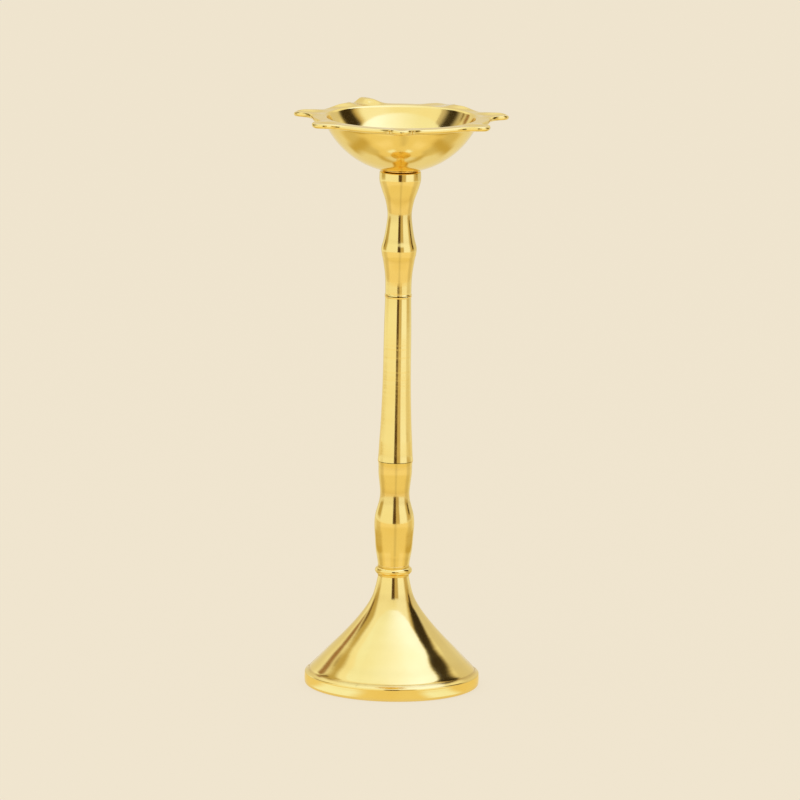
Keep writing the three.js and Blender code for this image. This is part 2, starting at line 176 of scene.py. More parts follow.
# %% A mesh from rows of points
def make_piece(name, rows, run, hollow, loop=True):
    """A closed skin over rows of points, all of the same length, in mm.

    Each row goes once around. A row that lies on the axis becomes a single
    point. With loop, the last row joins the first."""
    points, faces, along, deep, index = [], [], [], [], []
    for row, length, depth in zip(rows, run, hollow):
        on_axis = max(math.hypot(p[0], p[1]) for p in row) < 1e-6
        kept = row[:1] if on_axis else row
        index.append([len(points) + i for i in range(len(kept))] * (len(row) if on_axis else 1))
        points.extend((p[0] * MM, p[1] * MM, p[2] * MM) for p in kept)
        along.extend([length] * len(kept))
        deep.extend([depth] * len(kept))
    around_count = len(rows[0])
    pairs = list(zip(index, index[1:])) + ([(index[-1], index[0])] if loop else [])
    for low, high in pairs:
        for i in range(around_count):
            j = (i + 1) % around_count
            corners = [low[i], low[j], high[j], high[i]]
            face = list(dict.fromkeys(corners))
            if len(face) > 2:
                faces.append(face)
    mesh = bpy.data.meshes.new(name)
    mesh.from_pydata(points, [], faces)
    for label, values in (("run", along), ("hollow", deep)):
        mesh.attributes.new(label, "FLOAT", "POINT").data.foreach_set("value", values)
    mesh.validate()
    mesh.shade_smooth()
    mesh.set_sharp_from_angle(angle=math.radians(32))
    piece = bpy.data.objects.new(name, mesh)
    bpy.context.collection.objects.link(piece)
    return piece


# %% A turned piece
def full_turn(sides):
    """Even angles all the way round."""
    return [2 * math.pi * i / sides for i in range(sides)]


def level_row(angles, radius, z):
    """A row of points at one radius and one height."""
    return [(radius * math.cos(a), radius * math.sin(a), z) for a in angles]


def turned(name, outline, sides, z=0.0, loop=True):
    """Spins an outline of (radius, height) around the upright axis."""
    outline = without_doubles(outline)
    if loop and math.dist(outline[0], outline[-1]) < 1e-4:
        outline.pop()
    run, hollow = run_and_hollow(outline)
    rows = [level_row(full_turn(sides), r, z + h) for r, h in outline]
    piece = make_piece(name, rows, run, hollow, loop)
    print(f"{name}: {len(piece.data.polygons)} faces, {run[-1]:.0f} mm around its outline")
    return piece


def stands_for(piece, node, body):
    """The piece takes the solid's place and moves with its body."""
    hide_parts(node)
    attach(piece, body)


# %% [markdown]
# ## Heights of the stack
#
# The pieces are screwed together on one axis, so every height follows from the
# heights below it. The heights are the same as in the solids, and a gap of
# 0.3 mm is left at each seam that unscrews.

# %% Heights
SEAM_GAP = 0.3
FOOT_HEIGHT, COLLAR_HEIGHT = 59.05, 6.0
LOWER_HEIGHT, MIDDLE_HEIGHT, UPPER_HEIGHT = 55.75, 88.4, 66.2
DISC_THICK, BOWL_DEPTH = 1.3, 27.4
STUD_R, HOLE_R = 4.0, 4.3
STUD_GRIP, STUD_HOLD, STUD_END_ROOM = 10.0, 9.0, 1.0

collar_z = FOOT_HEIGHT
lower_z = collar_z + COLLAR_HEIGHT
middle_z = lower_z + LOWER_HEIGHT + SEAM_GAP
upper_z = middle_z + MIDDLE_HEIGHT + SEAM_GAP
disc_z = upper_z + UPPER_HEIGHT + SEAM_GAP
bowl_z = disc_z + DISC_THICK
rim_z = bowl_z + BOWL_DEPTH
print(f"the seams are at {middle_z:.1f} and {upper_z:.1f} mm, the rim at {rim_z:.1f} mm")

# %% [markdown]
# ## Foot
#
# The foot is a bell of 2.2 mm metal: a narrow neck that flares out to a small
# ledge, and below it an upright band that stands on the table. A subdivided
# cylinder would do for a quick stand-in, but its reflections would show every
# uneven edge, so the outline is sampled finely. The band, the ledge and the
# flare are separate runs of points, so that the creases between them stay
# crisp. The flare's outline, moved inwards by the wall, makes the hollow
# underside, and under the neck a thick web carries the washer and the nut.

# %% Foot
FOOT_RIM_R, FOOT_SOLE_R, FOOT_NECK_R = 46.3, 44.6, 8.2
FOOT_BAND, FOOT_BAND_EDGE, FOOT_LEDGE, FOOT_LEDGE_RISE = 7.4, 0.9, 1.5, 1.1
FOOT_WALL, FOOT_WEB, FOOT_POCKET_R = 2.2, 9.0, 8.8

flare_r = FOOT_RIM_R - FOOT_BAND_EDGE - FOOT_LEDGE
foot_band = [(FOOT_SOLE_R, 0.0)] + [
    (FOOT_RIM_R - FOOT_BAND_EDGE * back, FOOT_BAND * up)
    for back, up in ((0.3, 0.12), (0, 0.34), (0.02, 0.7), (0.16, 0.92), (1, 1))
]
across = between(FOOT_NECK_R, flare_r)
foot_flare = [(flare_r, FOOT_BAND + FOOT_LEDGE_RISE)] + [
    (across(out), FOOT_HEIGHT * up)
    for out, up in (
        (0.975, 0.165), (0.858, 0.237), (0.702, 0.339), (0.512, 0.457), (0.337, 0.576),
        (0.188, 0.694), (0.09, 0.796), (0.0395, 0.889), (0, 1),
    )
]


def moved_inwards(knots, wall):
    """The knots moved inwards by the wall, square to the surface."""
    moved = []
    for i, (r, z) in enumerate(knots):
        r0, z0 = knots[max(i - 1, 0)]
        r1, z1 = knots[min(i + 1, len(knots) - 1)]
        run = math.hypot(r1 - r0, z1 - z0)
        moved.append((r - wall * (z1 - z0) / run, z + wall * (r1 - r0) / run))
    return moved


web_z = FOOT_HEIGHT - FOOT_WEB
wall_knots = [
    (r, z) for r, z in moved_inwards(foot_flare, FOOT_WALL)[1:]
    if z < web_z and r > FOOT_POCKET_R
]
foot_hollow = [(FOOT_SOLE_R - FOOT_WALL, 0.0)] + wall_knots
foot_outside = flowing(foot_band, 8) + flowing(foot_flare, 12)
foot_inside = flowing(foot_hollow[::-1], 6)
foot_outline = (
    foot_outside
    + [(HOLE_R, FOOT_HEIGHT), (HOLE_R, web_z), (FOOT_POCKET_R, web_z)]
    + [(FOOT_POCKET_R, foot_inside[0][1])]
    + foot_inside
)
foot = turned("foot_bell", foot_outline, 144)
stands_for(foot, "foot", "base")

# %% [markdown]
# ## Collar
#
# Between foot and stem sits a short ring with one rounded bead. It is a true
# arc, so the bead gets one, with small flats above and below it.

# %% Collar
COLLAR_R, COLLAR_BEAD, COLLAR_BEAD_R, COLLAR_BEAD_UP = 8.45, 1.9, 9.9, 2.85

bead_r = COLLAR_BEAD_R - COLLAR_BEAD
bead_half = math.acos((COLLAR_R - bead_r) / COLLAR_BEAD)
collar_outline = (
    [(HOLE_R, 0), (COLLAR_R - 0.2, 0), (COLLAR_R, 0.2)]
    + arc(bead_r, COLLAR_BEAD_UP, COLLAR_BEAD, -bead_half, bead_half, 24)
    + [(COLLAR_R, COLLAR_HEIGHT - 0.2), (COLLAR_R - 0.2, COLLAR_HEIGHT)]
    + [(HOLE_R, COLLAR_HEIGHT)]
)
collar = turned("collar_bead_ring", collar_outline, 96, collar_z)
stands_for(collar, "collar_ring", "base")

# %% [markdown]
# ## Stem
#
# The stem's three sections are turned from solid bar, with a tapped hole in
# each end for the stud that joins them. Their sides are curves through widths
# again: a long bulge on the lower one, a long taper on the middle one, and a
# pointed bulge, a slim neck and a cup-shaped head on the upper one. The thin
# lips on both sides of the upper seam hide it, as on the real stand.

# %% A stem section
def section(name, side, height, hole_below, hole_above, z):
    """A turned section with a blind hole for a stud in each end."""
    outline = (
        [(0, hole_below), (HOLE_R, hole_below), (HOLE_R, 0)]
        + side
        + [(HOLE_R, height), (HOLE_R, height - hole_above), (0, height - hole_above)]
    )
    return turned(name, outline, 96, z, loop=False)


# %% Lower section
LOWER_FOOT_R, LOWER_BULGE_R, LOWER_NECK_R, LOWER_TOP_R = 8.35, 10.65, 7.83, 9.25

rise, fall = between(LOWER_FOOT_R, LOWER_BULGE_R), between(LOWER_NECK_R, LOWER_BULGE_R)
widen, up = between(LOWER_NECK_R, LOWER_TOP_R), between(0, LOWER_HEIGHT)
lower_side = flowing([
    (rise(0), 0), (rise(0.26), up(0.071)), (rise(0.574), up(0.143)),
    (rise(0.817), up(0.268)), (rise(1), up(0.388)), (fall(0.848), up(0.483)),
    (fall(0.372), up(0.573)), (fall(0.106), up(0.627)), (fall(0), up(0.699)),
    (widen(0.338), up(0.788)), (widen(0.754), up(0.878)), (widen(0.81), up(0.959)),
    (widen(1), up(1)),
], 9)
stem_lower = section("stem_lower_bulge", lower_side, LOWER_HEIGHT, 15.0,
                     STUD_GRIP + STUD_END_ROOM, lower_z)
stands_for(stem_lower, "stem_lower", "base")

# %% Middle section
MIDDLE_FOOT_R, MIDDLE_BAND_R, MIDDLE_TOP_R = 9.42, 8.97, 6.92
LIP_OUT, LIP_HEIGHT = 0.26, 0.9

flare, taper = between(MIDDLE_BAND_R, MIDDLE_FOOT_R), between(MIDDLE_TOP_R, MIDDLE_BAND_R)
up, lip_z = between(0, MIDDLE_HEIGHT), MIDDLE_HEIGHT - LIP_HEIGHT
middle_side = flowing([
    (flare(1), 0), (flare(0.36), up(0.033)), (flare(0), up(0.067)),
    (taper(0.883), up(0.123)), (taper(0.707), up(0.191)), (taper(0.537), up(0.282)),
    (taper(0.327), up(0.44)), (taper(0.224), up(0.61)), (taper(0.161), up(0.802)),
    (taper(0), lip_z),
], 8)
lip = MIDDLE_TOP_R + LIP_OUT
middle_side += [(lip - 0.05, lip_z + LIP_OUT - 0.05), (lip, lip_z + LIP_OUT + 0.1)]
middle_side += [(lip, MIDDLE_HEIGHT - 0.12), (lip - 0.12, MIDDLE_HEIGHT)]
stem_middle = section("stem_middle_taper", middle_side, MIDDLE_HEIGHT,
                      STUD_HOLD + STUD_END_ROOM, STUD_GRIP + STUD_END_ROOM, middle_z)
stands_for(stem_middle, "stem_middle", "middle_section")

# %% Upper section
UPPER_FOOT_R, UPPER_BULGE_R, UPPER_NECK_R = 6.9, 9.34, 6.43
UPPER_HEAD_R, UPPER_EDGE = 10.98, 0.6

rise, fall = between(UPPER_FOOT_R, UPPER_BULGE_R), between(UPPER_NECK_R, UPPER_BULGE_R)
cup, up = between(UPPER_NECK_R, UPPER_HEAD_R), between(0, UPPER_HEIGHT)
lip = UPPER_FOOT_R + LIP_OUT
upper_side = [(lip - 0.12, 0), (lip, 0.12), (lip, LIP_HEIGHT - LIP_OUT - 0.1)]
upper_side += [(lip - 0.05, LIP_HEIGHT - LIP_OUT + 0.05)]
upper_side += flowing([
    (rise(0), LIP_HEIGHT), (rise(0.107), up(0.154)), (rise(0.57), up(0.275)),
    (rise(0.889), up(0.328)), (rise(1), up(0.385)), (fall(0.591), up(0.456)),
    (fall(0.227), up(0.547)), (fall(0), up(0.653)), (cup(0.244), up(0.758)),
    (cup(0.699), up(0.849)), (cup(1), up(0.924)), (UPPER_HEAD_R, up(1) - UPPER_EDGE),
], 9)
upper_side += arc(UPPER_HEAD_R - UPPER_EDGE, UPPER_HEIGHT - UPPER_EDGE, UPPER_EDGE,
                  0, math.pi / 2, 8)
stem_upper = section("stem_upper_cup", upper_side, UPPER_HEIGHT,
                     STUD_HOLD + STUD_END_ROOM, STUD_GRIP + STUD_END_ROOM, upper_z)
stands_for(stem_upper, "stem_upper", "upper_section")

# %% [markdown]
# ## Disc under the bowl
#
# A thin disc with a rounded edge keeps the bowl off the stem's head. It shows
# as a narrow ledge above a dark seam.

# %% Disc
DISC_R = 9.9

edge = DISC_THICK / 2
disc_outline = (
    [(HOLE_R, 0), (DISC_R - edge, 0)]
    + arc(DISC_R - edge, edge, edge, -math.pi / 2, math.pi / 2, 12)
    + [(HOLE_R, DISC_THICK)]
)
disc = turned("disc_under_bowl", disc_outline, 96, disc_z)
stands_for(disc, "bowl_disc", "bowl")

# %% [markdown]
# ## Bowl
#
# The bowl is cast as a round shell and its rim is then drawn out into seven
# tongues, each with a shallow trough that a wick lies in. It could be sculpted
# or cut with booleans, but a founder's way works in code too: turn the round
# shell first, then pull its rim out to the outline of the tongues, and let the
# pull fade towards the well. That keeps the wall even, and every tongue opens
# into the well. Drawn by hand, they aren't quite alike: the ones at the front
# rise towards their tips, and at the back the rim was bent up in three places.

# %% Round shell of the bowl
BOWL_OUTER_R, BOWL_SEAT_R, BOWL_WALL, BOWL_FLOOR = 44.2, 13.3, 2.2, 2.3
FLOOR_FLAT, FLOOR_EASE = 4.0, 7.0
RIM_LEDGE, RIM_THICK, RIM_INNER_ROUND, RIM_UNDER_ROUND = 5.2, 2.4, 1.7, 3.5
PEEN_R, PEEN_RISE = 6.2, 1.4

ball_up = math.sqrt(BOWL_OUTER_R**2 - BOWL_SEAT_R**2) - BOWL_DEPTH
rim_r = math.sqrt(BOWL_OUTER_R**2 - ball_up**2) + RIM_LEDGE


def eased_floor(inner_r, floor_z):
    """The flat floor around the stud, eased into the well."""
    flat_r = PEEN_R + FLOOR_FLAT
    ease_r = flat_r + FLOOR_EASE
    ease_z = ball_up - math.sqrt(inner_r**2 - ease_r**2)
    corner_r = ease_r - (ease_z - floor_z) * (ball_up - ease_z) / ease_r
    points = []
    for t in np.linspace(0, 1, 9):
        a, b, c = (1 - t) ** 2, 2 * t * (1 - t), t**2
        points.append((a * ease_r + b * corner_r + c * flat_r,
                       a * ease_z + (b + c) * floor_z))
    return points, math.atan2(ease_z - ball_up, ease_r)


def round_shell():
    """Outline of the bowl without spouts, heights from the rim's upper face."""
    inner_r, edge = BOWL_OUTER_R - BOWL_WALL, RIM_THICK / 2
    lip_z = -RIM_INNER_ROUND
    lip_r = math.sqrt((inner_r + RIM_INNER_ROUND) ** 2 - (ball_up - lip_z) ** 2)
    well_angle = math.atan2(lip_z - ball_up, lip_r)
    under_z = -RIM_THICK - RIM_UNDER_ROUND
    under_r = math.sqrt((BOWL_OUTER_R + RIM_UNDER_ROUND) ** 2 - (ball_up - under_z) ** 2)
    under_angle = math.atan2(under_z - ball_up, under_r)
    seat_angle = math.atan2(-BOWL_DEPTH - ball_up, BOWL_SEAT_R)
    floor_z = -BOWL_DEPTH + BOWL_FLOOR
    floor, ease_angle = eased_floor(inner_r, floor_z)
    quarter = math.pi / 2
    ledge_under = np.linspace(under_r, rim_r - edge, 8)[1:-1]
    ledge_over = np.linspace(rim_r - edge, lip_r, 8)[1:-1]
    return (
        [(HOLE_R, -BOWL_DEPTH), (BOWL_SEAT_R - 1, -BOWL_DEPTH)]
        + arc(0, ball_up, BOWL_OUTER_R, seat_angle, under_angle, 30)
        + arc(under_r, under_z, RIM_UNDER_ROUND, under_angle + math.pi, quarter, 8)
        + [(r, -RIM_THICK) for r in ledge_under]
        + arc(rim_r - edge, -edge, edge, -quarter, quarter, 12)
        + [(r, 0) for r in ledge_over]
        + arc(lip_r, lip_z, RIM_INNER_ROUND, quarter, well_angle + math.pi, 10)
        + arc(0, ball_up, inner_r, well_angle, ease_angle, 26)
        + floor
        + [(HOLE_R, floor_z)]
    )


shell = without_doubles(round_shell())
print(f"the shell's outline has {len(shell)} points, and its rim is {2 * rim_r:.1f} mm wide")

# %% Outline of the rim from above
SPOUTS, SPOUT_LENGTH, SPOUT_TIP_ROUND, SPOUT_ROOT_ROUND = 7, 11.13, 6.0, 12.0
SPOUT_DRAW, TROUGH_DIP, TROUGH_LIP, TROUGH_RUN_OUT = 7.0, 0.5, 0.3, 1.4
HALF_SPOUT_SIDES = 32

spout_pitch = 2 * math.pi / SPOUTS
first_spout = -math.pi / 2 + spout_pitch / 8


def half_spout_plan():
    """Even steps along the rim, from a spout's middle to the middle of a gap,
    each as (angle from the spout's middle, distance from the axis)."""
    tip = rim_r + SPOUT_LENGTH - SPOUT_TIP_ROUND
    from_axis, from_tip = rim_r + SPOUT_ROOT_ROUND, SPOUT_TIP_ROUND + SPOUT_ROOT_ROUND
    along = (from_axis**2 - from_tip**2 + tip**2) / (2 * tip)
    aside = math.sqrt(from_axis**2 - along**2)
    lean, root = math.atan2(aside, along - tip), math.atan2(aside, along)
    plan = np.array(
        arc(tip, 0, SPOUT_TIP_ROUND, 0, lean, 90)
        + arc(along, aside, SPOUT_ROOT_ROUND, lean - math.pi, root - math.pi, 90)
        + arc(0, 0, rim_r, root, spout_pitch / 2, 60)
    )
    run = run_along(plan)
    even = np.linspace(0, run[-1], HALF_SPOUT_SIDES + 1)
    x, y = np.interp(even, run, plan[:, 0]), np.interp(even, run, plan[:, 1])
    return list(zip(np.arctan2(y, x), np.hypot(x, y)))


half_plan = half_spout_plan()
print(f"the spouts reach {half_plan[0][1]:.1f} mm from the axis")

# %% Bowl with its spouts drawn out
def ease(start, end, x):
    """0 before start, 1 after end, and smooth between them."""
    t = min(max((x - start) / (end - start), 0.0), 1.0)
    return t * t * (3 - 2 * t)


def trough_rise(aside, reach):
    """Height that a spout's trough and its lips add to the round rim."""
    side = abs(aside) / SPOUT_TIP_ROUND
    dip = TROUGH_DIP * math.exp(-((side / 0.6) ** 2))
    lip = TROUGH_LIP * math.exp(-(((side - 1.15) / 0.45) ** 2))
    return ease(rim_r - SPOUT_DRAW, rim_r + TROUGH_RUN_OUT, reach) * (lip - dip)


# How far each spout's tip rises, in mm, from the front one to the right, and
# how late along the spout: 1 would be a straight ramp
SPOUT_LIFTS = [1.9, 1.4, 0.4, -0.4, -0.4, 0.4, 1.4]
LIFT_CURVE = 1.4
# Where the rim was bent up: degrees from the front spout to the right, the
# height in mm, and how many degrees the bend spreads before and after. It
# starts so many mm inside the round rim's edge and is full a little past it.
BENDS = [(137, 1.7, 10, 9), (202.5, 2.6, 8, 2.6), (222, 1.8, 9, 10)]
BEND_REACH, BEND_RUN_OUT = 7, 2


def along_spout(reach):
    """0 on the round rim, 1 at a spout's tip."""
    return min(max((reach - rim_r + 1) / (SPOUT_LENGTH + 1), 0), 1)


def hand_rise(spout, off, reach):
    """Height that the founder's hand added, in mm."""
    rise = SPOUT_LIFTS[spout] * along_spout(reach) ** LIFT_CURVE
    turn = math.degrees(spout_pitch * spout + off)
    share = ease(rim_r - BEND_REACH, rim_r + BEND_RUN_OUT, reach)
    for middle, height, before, after in BENDS:
        away = turn - middle
        spread = after if away > 0 else before
        rise += height * math.exp(-((away / spread) ** 2)) * share
    return rise


def drawn_row(radius, height):
    """One row around the shell, pulled out to the plan of the rim."""
    pull = ease(rim_r - SPOUT_DRAW, rim_r - RIM_THICK / 2, radius)
    row = []
    for spout in range(SPOUTS):
        for step in range(-HALF_SPOUT_SIDES, HALF_SPOUT_SIDES):
            off, end = half_plan[abs(step)]
            off = math.copysign(off, step)
            reach = radius + (end - rim_r) * pull
            turn = first_spout + spout_pitch * spout + off
            z = rim_z + height + trough_rise(reach * math.sin(off), reach)
            z += hand_rise(spout, off, reach)
            row.append((reach * math.cos(turn), reach * math.sin(turn), z))
    return row


# The wheel reaches all of the open bowl, so none of it counts as a hollow
bowl = make_piece("bowl_with_spouts", [drawn_row(r, z) for r, z in shell],
                  run_along(np.array(shell)), [0] * len(shell))
stands_for(bowl, "bowl", "bowl")
print("bowl:", len(bowl.data.polygons), "faces")

# %% [markdown]
# ## Studs, washer and nut
#
# Three studs join the sections, and a longer one ties the foot and the collar
# to the stem. The thread could be a bump in the finish, but it shows when the
# lamp is taken apart, so it is cut into the mesh: the radius at each point
# follows a right-hand helix of 1.25 mm pitch. Both ends have a small chamfer.

# %% A threaded stud
THREAD_PITCH, THREAD_DEPTH, STUD_CHAMFER, STUD_SIDES = 1.25, 0.72, 0.6, 40
HALF_CREST, FLANK = 0.08, 0.34  # shares of the pitch


def thread_radius(angle, z):
    """Radius of the stud at this angle and height, in mm."""
    phase = (z / THREAD_PITCH - angle / (2 * math.pi)) % 1
    down = min(max((abs(phase - 0.5) - HALF_CREST) / FLANK, 0.0), 1.0)
    return STUD_R - THREAD_DEPTH * down


def threaded_stud(name, z, length, cap=()):
    """A stud from z up. With a cap, its upper end is that outline instead."""
    angles = full_turn(STUD_SIDES)
    rows = [level_row(angles, 0.0, z)]
    for h in np.arange(0, length + 0.01, THREAD_PITCH / 10):
        room = h if cap else min(h, length - h)
        most = STUD_R - STUD_CHAMFER + min(room, STUD_CHAMFER)
        radii = [min(thread_radius(a, h), most) for a in angles]
        rows.append([(r * math.cos(a), r * math.sin(a), z + h) for a, r in zip(angles, radii)])
    rows += [level_row(angles, r, z + h) for r, h in cap or [(0.0, length)]]
    lengths = [row[0][2] - z for row in rows]
    piece = make_piece(name, rows, lengths, [0] * len(rows), loop=False)
    print(f"{name}: {length / THREAD_PITCH:.0f} turns of thread")
    return piece


joiner = STUD_GRIP + SEAM_GAP + STUD_HOLD
lower_stud = threaded_stud("stud_lower_thread", middle_z - SEAM_GAP - STUD_GRIP, joiner)
upper_stud = threaded_stud("stud_upper_thread", upper_z - SEAM_GAP - STUD_GRIP, joiner)
stands_for(lower_stud, "stud_lower_seam", "lower_seam_stud")
stands_for(upper_stud, "stud_upper_seam", "upper_seam_stud")

# %% The bowl's stud, with its peened head
STANDS_OUT = 0.3  # of the bowl's floor, under its head
through = STUD_GRIP + SEAM_GAP + DISC_THICK + BOWL_FLOOR + STANDS_OUT
dome = flowing([
    (PEEN_R, through + 0.05), (PEEN_R * 0.97, through + PEEN_RISE * 0.32),
    (PEEN_R * 0.8, through + PEEN_RISE * 0.66), (PEEN_R * 0.4, through + PEEN_RISE * 0.93),
    (0, through + PEEN_RISE),
], 6)
head = [(STUD_R, through), (PEEN_R - 0.1, through)] + dome
bowl_stud = threaded_stud("bowl_stud_peened", disc_z - SEAM_GAP - STUD_GRIP, through - 0.1,
                          cap=head)
stands_for(bowl_stud, "bowl_stud", "bowl_stud")

# %% Washer, nut and tie stud under the foot
WASHER_R, WASHER_THICK, NUT_FLATS, NUT_THICK = 7.8, 1.5, 13.0, 6.5
NUT_SIDES, NUT_CHAMFER, NUT_FACE_EDGE = 96, 0.5, 0.15
TIE_PAST_NUT, TIE_GRIP = 1.5, 14.0

washer_z = web_z - WASHER_THICK
nut_z = washer_z - NUT_THICK
tie_z = nut_z - TIE_PAST_NUT
washer_outline = (
    [(HOLE_R, 0), (WASHER_R - 0.3, 0)]
    + arc(WASHER_R - 0.3, 0.3, 0.3, -math.pi / 2, 0, 3)
    + arc(WASHER_R - 0.2, WASHER_THICK - 0.2, 0.2, 0, math.pi / 2, 3)
    + [(HOLE_R, WASHER_THICK)]
)
washer = turned("foot_washer_ring", washer_outline, 72, washer_z)
stands_for(washer, "foot_washer", "base")
tie_stud = threaded_stud("foot_tie_thread", tie_z, lower_z + TIE_GRIP - tie_z)
stands_for(tie_stud, "foot_tie_stud", "base")


def hexagon_nut(name, z):
    """A nut with its corners turned off to a cone at both faces."""
    angles, flat, bore = full_turn(NUT_SIDES), NUT_FLATS / 2, STUD_R + 0.06
    sixth = math.pi / 3
    corners = [flat / math.cos((a + sixth / 2) % sixth - sixth / 2) for a in angles]
    drops = [max(r - flat + NUT_FACE_EDGE, 0) * math.tan(math.radians(30)) for r in corners]

    def cornered(heights):
        return [(r * math.cos(a), r * math.sin(a), z + h)
                for a, r, h in zip(angles, corners, heights)]

    face_r, mouth_r = flat - NUT_FACE_EDGE, bore + NUT_CHAMFER
    rows = [
        level_row(angles, bore, z + NUT_CHAMFER), level_row(angles, mouth_r, z),
        level_row(angles, face_r, z), cornered(drops),
        cornered([NUT_THICK - d for d in drops]), level_row(angles, face_r, z + NUT_THICK),
        level_row(angles, mouth_r, z + NUT_THICK),
        level_row(angles, bore, z + NUT_THICK - NUT_CHAMFER),
    ]
    return make_piece(name, rows, [0] * len(rows), [0] * len(rows))


nut = hexagon_nut("foot_hexagon_nut", nut_z)
stands_for(nut, "foot_nut", "base")
print(f"the nut is {NUT_FLATS:.0f} mm across its flats")

# %% [markdown]
# ## Finishes
#
# Shader maths is easier to read as a formula than as a web of nodes. The small
# class below wraps a socket: adding, subtracting or multiplying it with a
# number or another wrapped socket adds the Math node for it. Every other node
# comes from one method of the finish, which takes the node's type, its
# settings and what goes into its sockets.

# %% Shader maths as expressions
class Socket:
    """An output socket whose arithmetic adds Math nodes."""

    def __init__(self, tree, socket):
        self.tree, self.socket = tree, socket

    def math(self, operation, first, second, clamp=False):
        node = self.tree.nodes.new("ShaderNodeMath")
        node.operation, node.use_clamp = operation, clamp
        for slot, value in zip(node.inputs, (first, second)):
            if isinstance(value, Socket):
                self.tree.links.new(value.socket, slot)
            else:
                slot.default_value = value
        return Socket(self.tree, node.outputs[0])

    def __add__(self, other):
        return self.math("ADD", self, other)

    def __sub__(self, other):
        return self.math("SUBTRACT", self, other)

    def __mul__(self, other):
        return self.math("MULTIPLY", self, other)

    def clamped(self):
        return self.math("ADD", self, 0.0, clamp=True)

    __radd__ = __add__
    __rmul__ = __mul__


# %% A finish and its nodes
class Finish:
    """A material, with one method that adds any node to it. With a tree given,
    it adds to that one, as for the world."""

    def __init__(self, name, tree=None):
        self.tree = tree
        if tree is None:
            self.material = bpy.data.materials.new(name)
            self.material.use_nodes = True
            self.tree = self.material.node_tree
            self.surface = self.tree.nodes["Principled BSDF"]

    def put(self, node, sockets):
        """Sets or links a node's input sockets, by name or identifier."""
        for name, value in sockets.items():
            slots = [s for s in node.inputs if name in (s.identifier, s.name)]
            if isinstance(value, Socket):
                self.tree.links.new(value.socket, slots[0])
            else:
                slots[0].default_value = value

    def add(self, kind, settings=None, sockets=None, out=0):
        """A new node of this type: settings first, then its sockets."""
        node = self.tree.nodes.new(kind)
        for name, value in (settings or {}).items():
            setattr(node, name, value)
        self.put(node, sockets or {})
        if isinstance(out, str):
            named = [s for s in node.outputs if out in (s.identifier, s.name)]
            return Socket(self.tree, named[0])
        return Socket(self.tree, node.outputs[out])

    def stored(self, label, out="Fac"):
        """What the mesh stores under this label."""
        return self.add("ShaderNodeAttribute", {"attribute_name": label}, out=out)

    def noise(self, place, scale, detail=3.0, rough=0.5):
        return self.add("ShaderNodeTexNoise", {},
                        {"Vector": place, "Scale": scale, "Detail": detail, "Roughness": rough})

    def rings(self, run, per_mm, detail=2.0):
        """Noise that changes only along a turned outline, so it makes rings."""
        return self.add("ShaderNodeTexNoise", {"noise_dimensions": "1D"},
                        {"W": run * per_mm, "Scale": 1.0, "Detail": detail})

    def blend(self, share, first, second):
        return self.add("ShaderNodeMix", {"data_type": "RGBA"},
                        {"Factor_Float": share, "A_Color": first, "B_Color": second},
                        out="Result_Color")

    def bump(self, height, distance, normal=None):
        sockets = {"Strength": 1.0, "Distance": distance, "Height": height}
        if normal is not None:
            sockets["Normal"] = normal
        return self.add("ShaderNodeBump", {}, sockets)

    def metal(self, color, rough, normal):
        self.put(self.surface, {"Base Color": color, "Metallic": 1.0,
                                "Roughness": rough, "Normal": normal})

    def show(self, shader):
        """Makes this shader the material's surface."""
        self.put(self.tree.nodes["Material Output"], {"Surface": shader})


# %% [markdown]
# ## Polished brass
#
# Brass is copper with about a third of zinc. Polished, it has no colour of its
# own apart from its reflections, which it tints yellow, so it is a full metal
# with a low roughness. What makes it look real is what breaks the mirror: the
# faint rings left by the turner's tool, a slight unevenness from the polishing
# wheel, clouds where the wheel cut more or less, and browner metal in the
# hollows. The rings follow the length along the outline that was stored in the
# mesh, so they also run true over the flat part of the foot.

# %% Polished brass
PALE_BRASS = (0.965, 0.745, 0.245, 1.0)
DEEP_BRASS = (0.93, 0.665, 0.175, 1.0)
BROWN_BRASS = (0.50, 0.27, 0.055, 1.0)
EDGE_TINT = (0.97, 0.93, 0.76, 1.0)


def polished_brass(name, gloss, ring_depth, unevenness):
    finish = Finish(name)
    place = finish.add("ShaderNodeTexCoord", out="Object")
    run, hollow = finish.stored("run"), finish.stored("hollow")
    clouds = finish.noise(place, 38, 4)
    smears = finish.noise(place, 210, 3)
    tone = (clouds * 1.7 - 0.35).clamped()
    clean = finish.blend(tone, PALE_BRASS, DEEP_BRASS)
    stain = (hollow * (0.25 + 0.5 * smears)).clamped()
    color = finish.blend(stain, clean, BROWN_BRASS)
    lines = finish.rings(run, 6.0)
    rough = gloss + 0.05 * (smears - 0.5) + 0.06 * (clouds - 0.5) + 0.10 * hollow
    rough = (rough + 0.03 * (lines - 0.5)).clamped()
    waves = finish.noise(place, 55, 2)
    soft_rings = finish.rings(run, 0.45, 1.0)
    normal = finish.bump(waves, unevenness)
    normal = finish.bump(soft_rings, ring_depth, normal)
    normal = finish.bump(lines, ring_depth * 0.03, normal)
    finish.metal(color, rough, normal)
    finish.surface.inputs["Specular Tint"].default_value = EDGE_TINT
    print(f"{name}: roughness about {gloss}, unevenness {1e6 * unevenness:.0f} microns")
    return finish.material


turned_finish = polished_brass("brass_turned_polished", 0.10,
                               ring_depth=0.00001, unevenness=0.00004)
bowl_finish = polished_brass("brass_cast_polished", 0.11,
                             ring_depth=0.000008, unevenness=0.00009)

for piece in (foot, collar, stem_lower, stem_middle, stem_upper, disc):
    piece.data.materials.append(turned_finish)
bowl.data.materials.append(bowl_finish)

